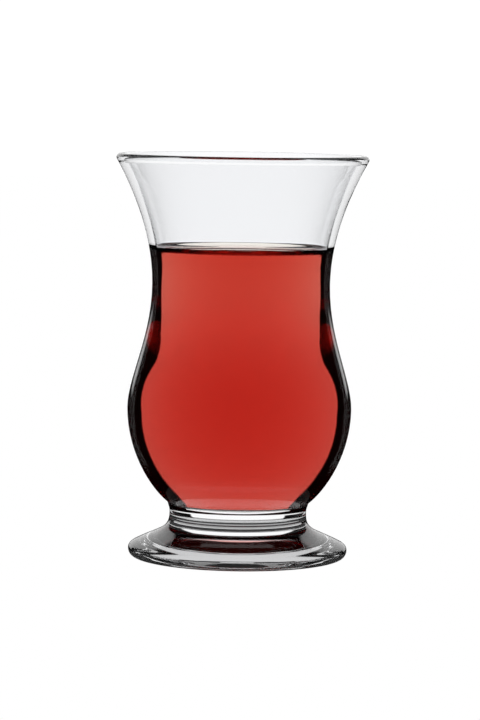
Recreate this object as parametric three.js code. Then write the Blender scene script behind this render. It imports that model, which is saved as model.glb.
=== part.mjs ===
// A footed tea glass with a narrow waist and a flared mouth, filled with tea to just above the waist.
// Units are millimetres and +Z is up. The origin is the middle of the flat ring that the foot stands on.
// Glass and tea are both turned about Z from an outline: x is the radius, y the height.
import * as THREE from 'three';

// Foot: a thick disc with a rounded edge and a sloping top, hollowed underneath by a shallow recess
const FOOT_RADIUS = 27.2;
const FOOT_ROUNDING = 1.8;
const FOOT_TOP_SLOPE = THREE.MathUtils.degToRad(27);
const RECESS_RADIUS = 22.4;
const RECESS_DEPTH = 2.6;

// Stem: a short solid neck
const STEM_RADIUS = 17.0;
const STEM_HEIGHT = 10.9;
const STEM_TOP_RADIUS = 17.5;
const STEM_TOP_HEIGHT = 13.6;

// Bowl: a round belly, a waist and a flared mouth. Leans are angles from straight up.
const BOWL_START_LEAN = THREE.MathUtils.degToRad(51);
const BELLY_RADIUS = 27.8;
const BELLY_HEIGHT = 37.1;
const WAIST_RADIUS = 22.0;
const WAIST_HEIGHT = 67.8;
const MOUTH_LEAN = THREE.MathUtils.degToRad(29);

// Lip: a rounded bead round the mouth
const GLASS_HEIGHT = 100;
const LIP_RADIUS = 31.2;
const LIP_ROUNDING = 1.0;

// Wall: thin at the mouth, thicker at the belly, with a solid base under the cavity
const MOUTH_WALL = 1.8;
const WAIST_WALL = 1.9;
const BELLY_WALL = 2.2;
const FLOOR_HEIGHT = 14.5;
const FLOOR_FLAT_RADIUS = 10;

// Tea: level on top, with a small meniscus that climbs the wall
const TEA_LEVEL = 76.2;
const MENISCUS_HEIGHT = 1.2;
const MENISCUS_WIDTH = 3.0;
const WALL_GAP = 0.3;

// How far each curve runs straight on from its ends before it bends
const FOOT_TOP_RUN = 7.2;
const STEM_RUN = 4.5;
const BOWL_START_RUN = 6;
const BELLY_RUN_DOWN = 10.7;
const BELLY_RUN_UP = 7.3;
const WAIST_RUN_DOWN = 13.3;
const WAIST_RUN_UP = 12;
const MOUTH_RUN = 9;
const FLOOR_EDGE_RUN = 6.5;
const CAVITY_RUN_DOWN = 16.5;

const SIDES = 60;
const STRAIGHT_UP = 0;
const STRAIGHT_DOWN = Math.PI;
const RIGHT_ANGLE = Math.PI / 2;

const point = (radius, height) => new THREE.Vector2(radius, height);

// The point at a distance from another one, in a direction that leans out from straight up.
function along(from, lean, distance) {
  return point(from.x + Math.sin(lean) * distance, from.y + Math.cos(lean) * distance);
}

// Points of a smooth curve that leaves its start and reaches its end along two given directions.
function curvePoints(start, startHandle, endHandle, end, steps) {
  return new THREE.CubicBezierCurve(start, startHandle, endHandle, end).getPoints(steps);
}

// Points of an arc that turns anticlockwise. Angles are counted from straight outwards.
function arcPoints(centre, radius, startAngle, endAngle, steps) {
  return new THREE.ArcCurve(centre.x, centre.y, radius, startAngle, endAngle, false).getPoints(steps);
}

// Joins stretches of outline, each of which starts where the one before it ends.
function joinStretches(...stretches) {
  return stretches.flatMap((stretch, index) => (index === 0 ? stretch : stretch.slice(1)));
}

function turnedPiece(name, outline, material) {
  const geometry = new THREE.LatheGeometry(outline, SIDES);
  geometry.rotateX(RIGHT_ANGLE);
  const mesh = new THREE.Mesh(geometry, material);
  mesh.name = name;
  return mesh;
}

const lipCentre = point(LIP_RADIUS - LIP_ROUNDING, GLASS_HEIGHT - LIP_ROUNDING);

// The recess underneath and the rounded edge, from the axis to where the sloping top begins
function footOutline() {
  const edgeCentre = point(FOOT_RADIUS - FOOT_ROUNDING, FOOT_ROUNDING);
  const recess = curvePoints(
    point(0, RECESS_DEPTH),
    point(RECESS_RADIUS * 0.98, RECESS_DEPTH),
    point(RECESS_RADIUS, RECESS_DEPTH),
    point(RECESS_RADIUS, 0),
    7,
  );
  const edge = arcPoints(edgeCentre, FOOT_ROUNDING, -RIGHT_ANGLE, RIGHT_ANGLE - FOOT_TOP_SLOPE, 6);
  return [...recess, ...edge];
}

// The hollow top of the foot and the stem, up to where the bowl begins
function stemOutline(start) {
  const neck = point(STEM_RADIUS, STEM_HEIGHT);
  const inwardUp = FOOT_TOP_SLOPE - RIGHT_ANGLE;
  const footTop = curvePoints(
    start,
    along(start, inwardUp, FOOT_TOP_RUN),
    along(neck, STRAIGHT_DOWN, STEM_RUN),
    neck,
    7,
  );
  return [...footTop, point(STEM_TOP_RADIUS, STEM_TOP_HEIGHT)];
}

// The outside of the bowl, from the stem to the underside of the lip
function bowlOutline(start) {
  const belly = point(BELLY_RADIUS, BELLY_HEIGHT);
  const waist = point(WAIST_RADIUS, WAIST_HEIGHT);
  const underLip = along(lipCentre, MOUTH_LEAN + RIGHT_ANGLE, LIP_ROUNDING);
  return joinStretches(
    curvePoints(
      start,
      along(start, BOWL_START_LEAN, BOWL_START_RUN),
      along(belly, STRAIGHT_DOWN, BELLY_RUN_DOWN),
      belly,
      8,
    ),
    curvePoints(
      belly,
      along(belly, STRAIGHT_UP, BELLY_RUN_UP),
      along(waist, STRAIGHT_DOWN, WAIST_RUN_DOWN),
      waist,
      8,
    ),
    curvePoints(
      waist,
      along(waist, STRAIGHT_UP, WAIST_RUN_UP),
      along(underLip, MOUTH_LEAN, -MOUTH_RUN),
      underLip,
      8,
    ),
  );
}

// The inside of the bowl, from the floor of the cavity on the axis up to the lip.
// With a gap, it is the outline of what fills the cavity and stays that far off the glass.
function cavityOutline(gap) {
  const floorMiddle = point(0, FLOOR_HEIGHT + gap);
  const floorEdge = point(FLOOR_FLAT_RADIUS, FLOOR_HEIGHT + gap);
  const belly = point(BELLY_RADIUS - BELLY_WALL - gap, BELLY_HEIGHT);
  const waist = point(WAIST_RADIUS - WAIST_WALL - gap, WAIST_HEIGHT);
  const mouth = along(lipCentre, MOUTH_LEAN - RIGHT_ANGLE, MOUTH_WALL - LIP_ROUNDING + gap);
  return joinStretches(
    [floorMiddle, floorEdge],
    curvePoints(
      floorEdge,
      along(floorEdge, RIGHT_ANGLE, FLOOR_EDGE_RUN - gap),
      along(belly, STRAIGHT_DOWN, CAVITY_RUN_DOWN - gap),
      belly,
      9,
    ),
    curvePoints(
      belly,
      along(belly, STRAIGHT_UP, BELLY_RUN_UP),
      along(waist, STRAIGHT_DOWN, WAIST_RUN_DOWN),
      waist,
      7,
    ),
    curvePoints(
      waist,
      along(waist, STRAIGHT_UP, WAIST_RUN_UP),
      along(mouth, MOUTH_LEAN, -MOUTH_RUN),
      mouth,
      7,
    ),
  );
}

// One solid: foot, stem, bowl and lip
function glassPiece() {
  const foot = footOutline();
  const stem = stemOutline(foot.at(-1));
  const bowl = bowlOutline(stem.at(-1));
  const lip = arcPoints(lipCentre, LIP_ROUNDING, -MOUTH_LEAN, Math.PI - MOUTH_LEAN, 6);
  const cavity = cavityOutline(0).reverse();
  const material = new THREE.MeshStandardMaterial({
    color: 0xf3f7f6,
    roughness: 0.02,
    metalness: 0,
    transparent: true,
    opacity: 0.35,
  });
  return turnedPiece('glass', [...joinStretches(foot, stem, bowl, lip), ...cavity], material);
}

// The cavity's outline cut off at a height
function upTo(height, outline) {
  const above = outline.findIndex((corner) => corner.y > height);
  const low = outline[above - 1];
  const high = outline[above];
  const edge = low.clone().lerp(high, (height - low.y) / (high.y - low.y));
  return [...outline.slice(0, above), edge];
}

// The tea up to the level shown: it touches the wall a little higher than it stands in the middle
function teaPiece() {
  const side = upTo(TEA_LEVEL + MENISCUS_HEIGHT, cavityOutline(WALL_GAP));
  const contact = side.at(-1);
  const levelEdge = point(contact.x - MENISCUS_WIDTH, TEA_LEVEL);
  const meniscus = curvePoints(
    contact,
    point(contact.x - MENISCUS_WIDTH * 0.12, TEA_LEVEL + MENISCUS_HEIGHT * 0.35),
    point(contact.x - MENISCUS_WIDTH * 0.55, TEA_LEVEL),
    levelEdge,
    3,
  );
  const material = new THREE.MeshStandardMaterial({
    color: 0xbb2a26,
    roughness: 0.02,
    metalness: 0,
    transparent: true,
    opacity: 0.8,
  });
  return turnedPiece('tea', [...joinStretches(side, meniscus), point(0, TEA_LEVEL)], material);
}

const teaGlass = new THREE.Group();
teaGlass.add(glassPiece(), teaPiece());

export default teaGlass;
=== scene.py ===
import math

import bpy
from mathutils import Matrix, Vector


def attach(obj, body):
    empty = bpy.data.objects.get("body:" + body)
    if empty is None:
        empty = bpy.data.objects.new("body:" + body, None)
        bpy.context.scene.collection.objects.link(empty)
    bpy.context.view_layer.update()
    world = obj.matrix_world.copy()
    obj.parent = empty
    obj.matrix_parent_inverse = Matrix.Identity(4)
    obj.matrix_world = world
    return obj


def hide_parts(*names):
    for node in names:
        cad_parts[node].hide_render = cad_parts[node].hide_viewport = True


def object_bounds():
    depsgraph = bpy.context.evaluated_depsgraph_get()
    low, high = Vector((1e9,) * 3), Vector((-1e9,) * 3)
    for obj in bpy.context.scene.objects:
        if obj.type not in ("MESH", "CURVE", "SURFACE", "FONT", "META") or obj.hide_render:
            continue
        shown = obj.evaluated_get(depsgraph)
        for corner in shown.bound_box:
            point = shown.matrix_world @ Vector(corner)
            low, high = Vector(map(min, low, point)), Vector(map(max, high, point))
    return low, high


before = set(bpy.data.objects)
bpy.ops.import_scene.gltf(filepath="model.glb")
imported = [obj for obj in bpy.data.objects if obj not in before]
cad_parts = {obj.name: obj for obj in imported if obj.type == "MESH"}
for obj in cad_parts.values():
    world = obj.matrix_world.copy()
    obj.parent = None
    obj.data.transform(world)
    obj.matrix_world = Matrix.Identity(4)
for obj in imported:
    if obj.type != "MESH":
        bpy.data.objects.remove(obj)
cad_low, cad_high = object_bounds()

# Camera
# It looks at the middle of the glass from a little above its mouth, through a long lens. It leans by
# less than a degree, because the glass stands that much out of upright in the picture.
CAMERA_DISTANCE = 0.799264
CAMERA_HEIGHT = 0.119328
LOOKS_AT_HEIGHT = 0.049035
CAMERA_LEAN = math.radians(0.84)
LENS = 161.72
SENSOR = 36.0
NEAREST_SEEN = 0.01

pitch = math.atan2(CAMERA_HEIGHT - LOOKS_AT_HEIGHT, CAMERA_DISTANCE)
turn = Matrix.Rotation(math.pi / 2 - pitch, 4, "X") @ Matrix.Rotation(CAMERA_LEAN, 4, "Z")
bpy.ops.object.camera_add()
camera = bpy.context.object
camera.name = "camera"
camera.matrix_world = Matrix.Translation((0, -CAMERA_DISTANCE, CAMERA_HEIGHT)) @ turn
camera.data.sensor_fit = "VERTICAL"
camera.data.sensor_height = SENSOR
camera.data.lens = LENS
camera.data.clip_start = NEAREST_SEEN
bpy.context.scene.camera = camera

# Glass
# One piece of clear soda-lime glass with a polished surface: a foot with a shallow recess underneath, a
# short solid stem, the bowl and a rounded lip. Its outline is turned round the axis. Sizes are
# millimetres, an outline's spot is (radius, height), and a lean is an angle out from straight up.
MM = 0.001
UP = 0.0
OUTWARDS = math.radians(90)
INWARDS = -OUTWARDS
DOWN = math.radians(180)
HALF_TURN = math.radians(180)

FOOT_RADIUS = 27.2
FOOT_ROUNDING = 1.8
FOOT_TOP_SLOPE = math.radians(27)
RECESS_RADIUS = 22.4
RECESS_DEPTH = 2.6
RECESS_FLATNESS = 0.98
STEM = (17.0, 10.9)
STEM_TOP = (17.5, 13.6)
STEM_TOP_LEAN = math.radians(10)
BOWL_START_LEAN = math.radians(51)
BELLY = (27.8, 37.1)
WAIST = (22.0, 67.8)
MOUTH_LEAN = math.radians(29)
LIP_ROUNDING = 1.0
LIP_CENTRE = (cad_high.x / MM - LIP_ROUNDING, cad_high.z / MM - LIP_ROUNDING)
LIP_DEPTH = 1.2
MOUTH_WALL = 1.8
WAIST_WALL = 1.9
BELLY_WALL = 2.2
FLOOR_HEIGHT = 14.5
FLOOR_FLAT_RADIUS = 10.0
EDGE_SOFTNESS = 0.35

# How far the outline runs straight on from a knot before it bends
AXIS_RUN = 1.0
RING_RUN = 0.5
FOOT_EDGE_RUN = 1.1
FOOT_TOP_RUN = 7.2
STEM_RUN_DOWN = 4.5
STEM_RUN_UP = 1.6
STEM_TOP_RUN = 0.8
SOFT_EDGE_RUN = 0.15
BOWL_START_RUN = 5.65
BELLY_RUN_DOWN = 10.7
BELLY_RUN_UP = 7.3
WAIST_RUN_DOWN = 13.3
WAIST_RUN_UP = 12.0
MOUTH_RUN = 9.0
INNER_MOUTH_RUN = 8.0
LIP_RUN = 0.4
FLOOR_RUN = 3.0
FLOOR_EDGE_RUN = 6.5
CAVITY_RUN_DOWN = 16.5

FOOT_EDGE_PARTS = 2
LIP_PARTS = 3
STEPS_A_STRETCH = 14
SIDES = 256
MERGE_DISTANCE = 2e-6


def along(spot, lean, distance):
    """The spot at a distance from another one, in a direction that leans out from straight up."""
    return (spot[0] + math.sin(lean) * distance, spot[1] + math.cos(lean) * distance)


def knot(spot, lean, run_in, run_out):
    """A knot of an outline: the line comes in and goes on along its lean before it bends."""
    return spot, along(spot, lean, -run_in), along(spot, lean, run_out)


def round_knots(centre, radius, start, turn_by, parts):
    """Knots of an arc that turns anticlockwise, from an angle counted from straight outwards."""
    step = turn_by / parts
    run = 4 / 3 * math.tan(step / 4) * radius
    knots = []
    for part in range(parts + 1):
        angle = start + step * part
        knots.append(knot(along(centre, OUTWARDS - angle, radius), -angle, run, run))
    return knots


def turned(name, knots):
    """A piece turned round the Z axis. It is a solid where its outline starts and ends on the axis."""
    bpy.ops.object.select_all(action="DESELECT")
    bpy.ops.curve.primitive_bezier_curve_add()
    piece = bpy.context.object
    piece.data.resolution_u = STEPS_A_STRETCH
    points = piece.data.splines[0].bezier_points
    points.add(len(knots) - len(points))
    for point, (spot, before, after) in zip(points, knots):
        point.handle_left_type = "FREE"
        point.handle_right_type = "FREE"
        point.co = (spot[0] * MM, 0, spot[1] * MM)
        point.handle_left = (before[0] * MM, 0, before[1] * MM)
        point.handle_right = (after[0] * MM, 0, after[1] * MM)
    bpy.ops.object.convert(target="MESH")
    piece = bpy.context.object
    piece.name = name
    piece.data.name = name
    bpy.ops.object.mode_set(mode="EDIT")
    bpy.ops.mesh.select_all(action="SELECT")
    bpy.ops.mesh.spin(steps=SIDES, angle=2 * math.pi, center=(0, 0, 0), axis=(0, 0, 1))
    bpy.ops.mesh.select_all(action="SELECT")
    bpy.ops.mesh.remove_doubles(threshold=MERGE_DISTANCE)
    bpy.ops.mesh.normals_make_consistent(inside=False)
    bpy.ops.object.mode_set(mode="OBJECT")
    bpy.ops.object.shade_smooth()
    return piece


def foot_knots():
    edge_centre = (FOOT_RADIUS - FOOT_ROUNDING, FOOT_ROUNDING)
    edge = round_knots(
        edge_centre, FOOT_ROUNDING, -OUTWARDS, HALF_TURN - FOOT_TOP_SLOPE, FOOT_EDGE_PARTS
    )
    edge[-1] = knot(edge[-1][0], INWARDS + FOOT_TOP_SLOPE, FOOT_EDGE_RUN, FOOT_TOP_RUN)
    return [
        knot((0, RECESS_DEPTH), OUTWARDS, AXIS_RUN, RECESS_RADIUS * RECESS_FLATNESS),
        knot((RECESS_RADIUS, EDGE_SOFTNESS), DOWN, RECESS_DEPTH - EDGE_SOFTNESS, EDGE_SOFTNESS / 2),
        knot((RECESS_RADIUS + EDGE_SOFTNESS, 0), OUTWARDS, EDGE_SOFTNESS / 2, RING_RUN),
        *edge,
    ]


def bowl_knots():
    stem_end = along(STEM_TOP, STEM_TOP_LEAN, -EDGE_SOFTNESS)
    bowl_start = along(STEM_TOP, BOWL_START_LEAN, EDGE_SOFTNESS)
    lip = round_knots(LIP_CENTRE, LIP_ROUNDING, -MOUTH_LEAN, HALF_TURN, LIP_PARTS)
    lip[0] = (lip[0][0], along(lip[0][0], MOUTH_LEAN, -MOUTH_RUN), lip[0][2])
    lip[-1] = (lip[-1][0], lip[-1][1], along(lip[-1][0], MOUTH_LEAN, -LIP_RUN))
    return [
        knot(STEM, UP, STEM_RUN_DOWN, STEM_RUN_UP),
        knot(stem_end, STEM_TOP_LEAN, STEM_TOP_RUN, SOFT_EDGE_RUN),
        knot(bowl_start, BOWL_START_LEAN, SOFT_EDGE_RUN, BOWL_START_RUN),
        knot(BELLY, UP, BELLY_RUN_DOWN, BELLY_RUN_UP),
        knot(WAIST, UP, WAIST_RUN_DOWN, WAIST_RUN_UP),
        *lip,
    ]


def cavity_knots(out):
    """The inside of the bowl, from the axis up to below the lip, moved outwards into the wall."""
    inner_belly = (BELLY[0] - BELLY_WALL + out, BELLY[1])
    inner_waist = (WAIST[0] - WAIST_WALL + out, WAIST[1])
    inner_lip = along(LIP_CENTRE, MOUTH_LEAN - OUTWARDS, MOUTH_WALL - LIP_ROUNDING - out)
    below_lip = along(inner_lip, MOUTH_LEAN, -LIP_DEPTH)
    return [
        knot((0, FLOOR_HEIGHT - out), OUTWARDS, AXIS_RUN, AXIS_RUN),
        knot((FLOOR_FLAT_RADIUS, FLOOR_HEIGHT - out), OUTWARDS, FLOOR_RUN, FLOOR_EDGE_RUN),
        knot(inner_belly, UP, CAVITY_RUN_DOWN, BELLY_RUN_UP),
        knot(inner_waist, UP, WAIST_RUN_DOWN, WAIST_RUN_UP),
        knot(below_lip, MOUTH_LEAN, INNER_MOUTH_RUN, LIP_RUN),
    ]


def reversed_knots(knots):
    return [(spot, after, before) for spot, before, after in reversed(knots)]


glass = turned("clear_glass_body", foot_knots() + bowl_knots() + reversed_knots(cavity_knots(0)))

GLASS_IOR = 1.52
GLASS_TINT = (0.985, 0.99, 1.0, 1)
WAVES_A_METRE = 70.0
WAVE_DETAIL = 2.0
WAVE_ROUGHNESS = 0.4
WAVE_HEIGHT = 0.00004
WETTED_FROM = FLOOR_HEIGHT - 1
WETTED_TO = 77.4
WETTED_WITHIN = 27
LEVEL_ENOUGH = 0.5


def add_node(tree, kind, inputs=(), **settings):
    """A node of a material. Each input is set to a value, or joined where it is given a socket."""
    node = tree.nodes.new(kind)
    for name, value in settings.items():
        setattr(node, name, value)
    for key, value in dict(inputs).items():
        if isinstance(value, bpy.types.NodeSocket):
            tree.links.new(value, node.inputs[key])
        else:
            node.inputs[key].default_value = value
    return node


def new_material(name):
    material = bpy.data.materials.new(name)
    material.use_nodes = True
    return material, material.node_tree, material.node_tree.nodes["Principled BSDF"]


glass_finish, tree, shader = new_material("fire_polished_glass")
shader.inputs["Base Color"].default_value = GLASS_TINT
shader.inputs["Roughness"].default_value = 0.0
shader.inputs["Transmission Weight"].default_value = 1.0
shader.inputs["IOR"].default_value = GLASS_IOR
spot = add_node(tree, "ShaderNodeTexCoord").outputs["Object"]
waves = add_node(
    tree,
    "ShaderNodeTexNoise",
    {"Vector": spot, "Scale": WAVES_A_METRE, "Detail": WAVE_DETAIL, "Roughness": WAVE_ROUGHNESS},
)
ripple = add_node(
    tree,
    "ShaderNodeBump",
    {"Strength": 1.0, "Distance": WAVE_HEIGHT, "Height": waves.outputs["Fac"]},
)
tree.links.new(ripple.outputs[0], shader.inputs["Normal"])

# Where the tea wets the inner wall, the wall only bends light and mirrors none.
wetted_wall = bpy.data.materials.new("wetted_wall")
wetted_wall.use_nodes = True
tree = wetted_wall.node_tree
bending = add_node(
    tree, "ShaderNodeBsdfRefraction", {"Color": GLASS_TINT, "Roughness": 0.0, "IOR": GLASS_IOR}
)
tree.links.new(bending.outputs[0], tree.nodes["Material Output"].inputs["Surface"])

glass.data.materials.append(glass_finish)
glass.data.materials.append(wetted_wall)
for face in glass.data.polygons:
    middle = face.center
    faces_in = face.normal.x * middle.x + face.normal.y * middle.y < 0
    faces_up = face.normal.z > LEVEL_ENOUGH
    at_tea_height = WETTED_FROM < middle.z / MM < WETTED_TO
    in_bowl = at_tea_height and math.hypot(middle.x, middle.y) / MM < WETTED_WITHIN
    if in_bowl and (faces_in or faces_up):
        face.material_index = 1
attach(glass, "root")
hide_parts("glass")

# Tea
# Strong black tea, clear and red-brown, that fills the bowl to just above the waist and climbs its wall
# in a small meniscus. It wets the glass, so it reaches a hair's breadth into the wall.
TEA_LEVEL = 76.2
MENISCUS_HEIGHT = 1.2
MENISCUS_WIDTH = 3.0
INTO_WALL = 0.08
OUT_OF_WALL = 1.15
STEEP_WIDTH = 0.12
STEEP_HEIGHT = 0.35
MENISCUS_RUN = 0.45
LEVEL_RUN = 5
HALVINGS = 40


def cut_at(knots, height):
    """Cuts the last stretch off where it reaches a height, and returns the knots up to there."""
    low, high = knots[-2], knots[-1]

    def mix(a, b, share):
        return (a[0] + (b[0] - a[0]) * share, a[1] + (b[1] - a[1]) * share)

    def split(share):
        a = mix(low[0], low[2], share)
        b = mix(low[2], high[1], share)
        c = mix(high[1], high[0], share)
        d = mix(a, b, share)
        e = mix(b, c, share)
        return a, d, mix(d, e, share)

    least, most = 0.0, 1.0
    for _ in range(HALVINGS):
        share = (least + most) / 2
        if split(share)[2][1] < height:
            least = share
        else:
            most = share
    run_out, run_in, spot = split(share)
    return [*knots[:-2], (low[0], low[1], run_out), (spot, run_in, spot)]


def tea_knots():
    side = cut_at(cavity_knots(INTO_WALL), TEA_LEVEL + MENISCUS_HEIGHT)
    contact = side[-1][0]
    at_wall = (contact[0] - INTO_WALL * OUT_OF_WALL, contact[1])
    steep = (at_wall[0] - MENISCUS_WIDTH * STEEP_WIDTH, TEA_LEVEL + MENISCUS_HEIGHT * STEEP_HEIGHT)
    level_edge = (at_wall[0] - MENISCUS_WIDTH, TEA_LEVEL)
    return [
        *side[:-1],
        (contact, side[-1][1], at_wall),
        (at_wall, contact, steep),
        knot(level_edge, INWARDS, MENISCUS_WIDTH * MENISCUS_RUN, LEVEL_RUN),
        knot((0, TEA_LEVEL), INWARDS, LEVEL_RUN, AXIS_RUN),
    ]


tea = turned("tea_in_bowl", tea_knots())

TEA_IOR = 1.33
TEA_SWALLOWS = (12.8, 75.0, 85.0)
TINT_LOW = (1.0, 0.98, 1.0, 1)
TINT_HIGH = (1.0, 0.98, 0.9, 1)
TINT_FROM = 0.042
TINT_TO = 0.07
TINT_WANDERS = 0.03
CLOUDS_A_METRE = 40.0
CLOUD_DETAIL = 1.0
CLOUD_MIDDLE = 0.5


def math_node(tree, operation, *values):
    return add_node(tree, "ShaderNodeMath", list(enumerate(values)), operation=operation).outputs[0]


tea_finish, tree, shader = new_material("strong_tea")
spot = add_node(tree, "ShaderNodeTexCoord").outputs["Object"]
height = add_node(tree, "ShaderNodeSeparateXYZ", {0: spot}).outputs["Z"]
clouds = add_node(
    tree,
    "ShaderNodeTexNoise",
    {"Vector": spot, "Scale": CLOUDS_A_METRE, "Detail": CLOUD_DETAIL},
).outputs["Fac"]
drift = math_node(tree, "SUBTRACT", clouds, CLOUD_MIDDLE)
height = math_node(tree, "MULTIPLY_ADD", drift, TINT_WANDERS, height)
rise = add_node(
    tree,
    "ShaderNodeMapRange",
    {0: height, 1: TINT_FROM, 2: TINT_TO, 3: 0.0, 4: 1.0},
    interpolation_type="SMOOTHSTEP",
).outputs[0]
tint = add_node(tree, "ShaderNodeMix", {0: rise, 6: TINT_LOW, 7: TINT_HIGH}, data_type="RGBA").outputs[2]
tree.links.new(tint, shader.inputs["Base Color"])
shader.inputs["Roughness"].default_value = 0.0
shader.inputs["Transmission Weight"].default_value = 1.0
shader.inputs["IOR"].default_value = TEA_IOR
strongest = max(TEA_SWALLOWS)
absorption = add_node(
    tree,
    "ShaderNodeVolumeAbsorption",
    {"Color": (*[1 - part / strongest for part in TEA_SWALLOWS], 1), "Density": strongest},
)
tree.links.new(absorption.outputs[0], tree.nodes["Material Output"].inputs["Volume"])

tea.data.materials.append(tea_finish)
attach(tea, "root")
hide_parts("tea")

# Floor
# A plain white table top that shines as evenly as the backdrop behind it. Nothing is lit by it, and
# nothing mirrors it or shows it through the glass.
FLOOR_SIZE = 6.0
FLOOR_DROP = 0.0006


def shining(name, level):
    material, tree, shader = new_material(name)
    tree.nodes.remove(shader)
    glow = add_node(tree, "ShaderNodeEmission", {"Color": (level, level, level, 1)})
    tree.links.new(glow.outputs[0], tree.nodes["Material Output"].inputs["Surface"])
    return material


bpy.ops.object.select_all(action="DESELECT")
bpy.ops.mesh.primitive_plane_add(size=FLOOR_SIZE, location=(0, 0, -FLOOR_DROP))
floor = bpy.context.object
floor.name = "floor"
floor.data.materials.append(shining("white_table", 1.0))
floor.visible_diffuse = False
floor.visible_glossy = False
floor.visible_transmission = False
floor.visible_volume_scatter = False
floor.visible_shadow = False

# Dark mat
# A small dark mat under the foot, which the camera doesn't see. It draws the foot in dark lines, as a
# bright field does. A pale ring on it and a pale patch at its back lighten the foot between those lines.
MAT_RADIUS = 0.035
MAT_LEVEL = 0.05
MAT_SIDES = 96
PALE_RING_OUTER = 0.022
PALE_RING_INNER = 0.0095
PALE_RING_LEVEL = 0.68
PATCH_HALF_WIDTH = 0.014
PATCH_FRONT = 0.028
PATCH_BACK = 0.045
PATCH_LEVEL = 0.4
PATCH_LAYER = 4
LAYER = 0.0001

for name, radius, level, layer in (
    ("dark_mat", MAT_RADIUS, MAT_LEVEL, 1),
    ("pale_ring", PALE_RING_OUTER, PALE_RING_LEVEL, 2),
    ("dark_middle", PALE_RING_INNER, MAT_LEVEL, 3),
):
    bpy.ops.object.select_all(action="DESELECT")
    bpy.ops.mesh.primitive_circle_add(
        vertices=MAT_SIDES, radius=radius, fill_type="NGON", location=(0, 0, layer * LAYER - FLOOR_DROP)
    )
    disc = bpy.context.object
    disc.name = name
    disc.data.materials.append(shining(name, level))
    disc.visible_camera = False

bpy.ops.object.select_all(action="DESELECT")
bpy.ops.mesh.primitive_plane_add(
    size=1, location=(0, (PATCH_FRONT + PATCH_BACK) / 2, PATCH_LAYER * LAYER - FLOOR_DROP)
)
patch = bpy.context.object
patch.name = "pale_patch"
bpy.ops.object.mode_set(mode="EDIT")
bpy.ops.mesh.select_all(action="SELECT")
bpy.ops.transform.resize(value=(PATCH_HALF_WIDTH * 2, PATCH_BACK - PATCH_FRONT, 1))
bpy.ops.object.mode_set(mode="OBJECT")
patch.data.materials.append(shining("pale_patch", PATCH_LEVEL))
patch.visible_camera = False

# Dark cards
# Eight dark cards stand round the bowl and eight low ones round the foot, with a gap every 45 degrees. Seen
# along a gap, the tea draws its light together and is light in the middle and dark at its sides. Seen
# between two gaps it is mostly dark. A gap slope is (height, half width, height, half width).
CARDS_APART = math.radians(45)
CARD_LEVEL = 0.003
CARD_NEAREST = 0.0205
GAP_SOFTNESS = math.radians(0.6)
BOWL_CARDS_OUT = 1.7
BELLY_CARDS_OUT = 1.82
CARDS_TOP = (41.5, 88.0)
CARDS_TOP_LEAN = math.radians(20)
CARDS_TOP_RUN = 4
BOWL_GAP_SLOPES = ((32.3, 6.7, 40.2, 11.0), (45, 10.9, 74, 5.4))
FOOT_CARDS_RADIUS = 30.0
FOOT_CARDS_BOTTOM = -0.3
FOOT_CARDS_TOP = 13.0
FOOT_GAP_SLOPES = ((0, 9.5, 10, 9.5),)

# Faces that light has passed: four through the clear glass from side to side, and more through the tea
THROUGH_A_FACE = 0.5
THROUGH_TEA = 4.5


def ring_of_cards(name, knots, gap_slopes, passed, nearest):
    """Dark cards that light meets only past a number of faces, and from no nearer than a distance."""
    ring = turned(name, knots)
    finish = bpy.data.materials.new(name)
    finish.use_nodes = True
    tree = finish.node_tree
    tree.nodes.remove(tree.nodes["Principled BSDF"])
    spot = add_node(tree, "ShaderNodeTexCoord").outputs["Object"]
    x, y, z = add_node(tree, "ShaderNodeSeparateXYZ", {0: spot}).outputs
    steps = math_node(tree, "DIVIDE", math_node(tree, "ARCTAN2", x, y), CARDS_APART)
    whole_steps = math_node(tree, "ROUND", steps)
    off = math_node(tree, "ABSOLUTE", math_node(tree, "SUBTRACT", steps, whole_steps))
    half_width = math.pi
    for low, width_low, high, width_high in gap_slopes:
        slope = add_node(
            tree,
            "ShaderNodeMapRange",
            {0: z, 1: low * MM, 2: high * MM, 3: math.radians(width_low), 4: math.radians(width_high)},
        ).outputs[0]
        half_width = math_node(tree, "MINIMUM", slope, half_width)
    beyond = math_node(tree, "SUBTRACT", math_node(tree, "MULTIPLY", off, CARDS_APART), half_width)
    beside_gap = add_node(
        tree,
        "ShaderNodeMapRange",
        {0: beyond, 1: -GAP_SOFTNESS, 2: GAP_SOFTNESS, 3: 0.0, 4: 1.0},
        interpolation_type="SMOOTHSTEP",
    ).outputs[0]
    rays = add_node(tree, "ShaderNodeLightPath").outputs
    far_enough = math_node(tree, "GREATER_THAN", rays["Ray Length"], nearest)
    meets = math_node(tree, "GREATER_THAN", rays["Transmission Depth"], passed)
    meets = math_node(tree, "MULTIPLY", meets, far_enough)
    open_gap = add_node(tree, "ShaderNodeBsdfTransparent").outputs[0]
    dark = add_node(tree, "ShaderNodeEmission", {"Color": (CARD_LEVEL, CARD_LEVEL, CARD_LEVEL, 1)})
    mixed = add_node(
        tree,
        "ShaderNodeMixShader",
        {0: math_node(tree, "MULTIPLY", beside_gap, meets), 1: open_gap, 2: dark.outputs[0]},
    )
    tree.links.new(mixed.outputs[0], tree.nodes["Material Output"].inputs["Surface"])
    ring.data.materials.append(finish)
    ring.visible_camera = False
    ring.visible_glossy = False
    ring.visible_shadow = False


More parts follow.
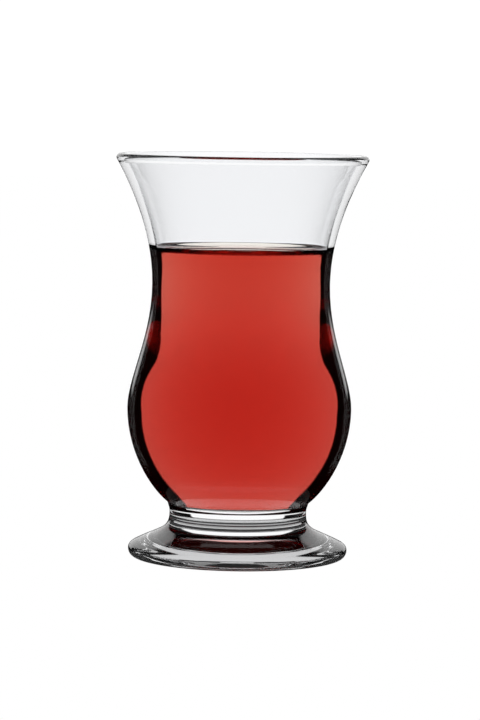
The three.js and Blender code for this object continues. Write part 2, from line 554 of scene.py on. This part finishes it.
ring_of_cards(
    "bowl_cards",
    [
        knot((STEM_TOP[0] * BOWL_CARDS_OUT, STEM_TOP[1]), BOWL_START_LEAN, AXIS_RUN, BOWL_START_RUN),
        knot((BELLY[0] * BELLY_CARDS_OUT, BELLY[1]), UP, BELLY_RUN_DOWN, BELLY_RUN_UP),
        knot((WAIST[0] * BOWL_CARDS_OUT, WAIST[1]), UP, WAIST_RUN_DOWN, WAIST_RUN_UP),
        knot(CARDS_TOP, CARDS_TOP_LEAN, CARDS_TOP_RUN, AXIS_RUN),
    ],
    BOWL_GAP_SLOPES,
    THROUGH_TEA,
    CARD_NEAREST,
)
ring_of_cards(
    "foot_cards",
    [
        knot((FOOT_CARDS_RADIUS, FOOT_CARDS_BOTTOM), UP, AXIS_RUN, AXIS_RUN),
        knot((FOOT_CARDS_RADIUS, FOOT_CARDS_TOP), UP, AXIS_RUN, AXIS_RUN),
    ],
    FOOT_GAP_SLOPES,
    THROUGH_A_FACE,
    0.0,
)

# Light
# The camera sees plain white. Light seen through the glass comes from all round, up to 35 degrees above
# the horizon. What the glass mirrors comes only from the part behind it in the picture, and so does most
# of the light that is turned back inside it.
SURROUND_LEVEL = 1.08
SURROUND_HIGH = math.radians(35)
TEA_SEES_FROM = math.radians(-60)
BACKDROP_HALF_WIDTH = math.radians(35)
BACKDROP_LOW = math.radians(-20)
DARK_LEVEL = 0.02
TABLE_BELOW = math.radians(-30)
TABLE_LEVEL = 0.7
MIRRORED_LOW = math.radians(-0.5)
MIRRORED_SOFTNESS = math.radians(1.5)
MIRRORED_LEVEL = 1.0
MIRRORED_HALF_WIDTH = math.radians(30)
SOFT_EDGE = math.radians(2.5)

world = bpy.data.worlds.new("studio")
bpy.context.scene.world = world
world.use_nodes = True
tree = world.node_tree
direction = add_node(tree, "ShaderNodeTexCoord").outputs["Generated"]
across, ahead, height = add_node(tree, "ShaderNodeSeparateXYZ", {0: direction}).outputs
elevation = math_node(tree, "ARCSINE", height)
sideways = math_node(tree, "ABSOLUTE", math_node(tree, "ARCTAN2", across, ahead))
rays = add_node(tree, "ShaderNodeLightPath").outputs
turned_back = math_node(tree, "MINIMUM", rays["Glossy Depth"], 1.0)


def edge(value, at, softness=SOFT_EDGE):
    """0 below a limit and 1 above it, with a soft edge."""
    return add_node(
        tree,
        "ShaderNodeMapRange",
        {0: value, 1: at - softness, 2: at + softness, 3: 0.0, 4: 1.0},
        interpolation_type="SMOOTHSTEP",
    ).outputs[0]


def times(*values):
    product = values[0]
    for value in values[1:]:
        product = math_node(tree, "MULTIPLY", product, value)
    return product


def less(value):
    """What is left of 1 when a value is taken away."""
    return math_node(tree, "SUBTRACT", 1.0, value)


def choose(condition, yes, no):
    return math_node(tree, "ADD", times(condition, yes), times(less(condition), no))


through_tea = math_node(tree, "GREATER_THAN", rays["Transmission Depth"], THROUGH_TEA)
below_top = less(edge(elevation, SURROUND_HIGH))
straight = times(below_top, choose(through_tea, edge(elevation, TEA_SEES_FROM), 1.0))
narrow = times(less(edge(sideways, BACKDROP_HALF_WIDTH)), edge(elevation, BACKDROP_LOW), below_top)
from_table = times(through_tea, less(edge(elevation, TABLE_BELOW)), TABLE_LEVEL)
from_around = math_node(tree, "MAXIMUM", narrow, DARK_LEVEL)
inside_light = math_node(tree, "MAXIMUM", from_around, from_table)
seen_through = times(choose(turned_back, inside_light, straight), SURROUND_LEVEL)
mirrored = times(
    less(edge(sideways, MIRRORED_HALF_WIDTH)),
    edge(elevation, MIRRORED_LOW, MIRRORED_SOFTNESS),
    below_top,
    MIRRORED_LEVEL,
)
seen = choose(rays["Is Reflection Ray"], mirrored, seen_through)
shown = math_node(tree, "MAXIMUM", seen, rays["Is Camera Ray"])
tree.links.new(shown, tree.nodes["Background"].inputs["Color"])

scene = bpy.context.scene
scene.view_settings.view_transform = "Standard"
scene.cycles.max_bounces = 32
scene.cycles.transmission_bounces = 32
scene.cycles.glossy_bounces = 16
scene.cycles.transparent_max_bounces = 16
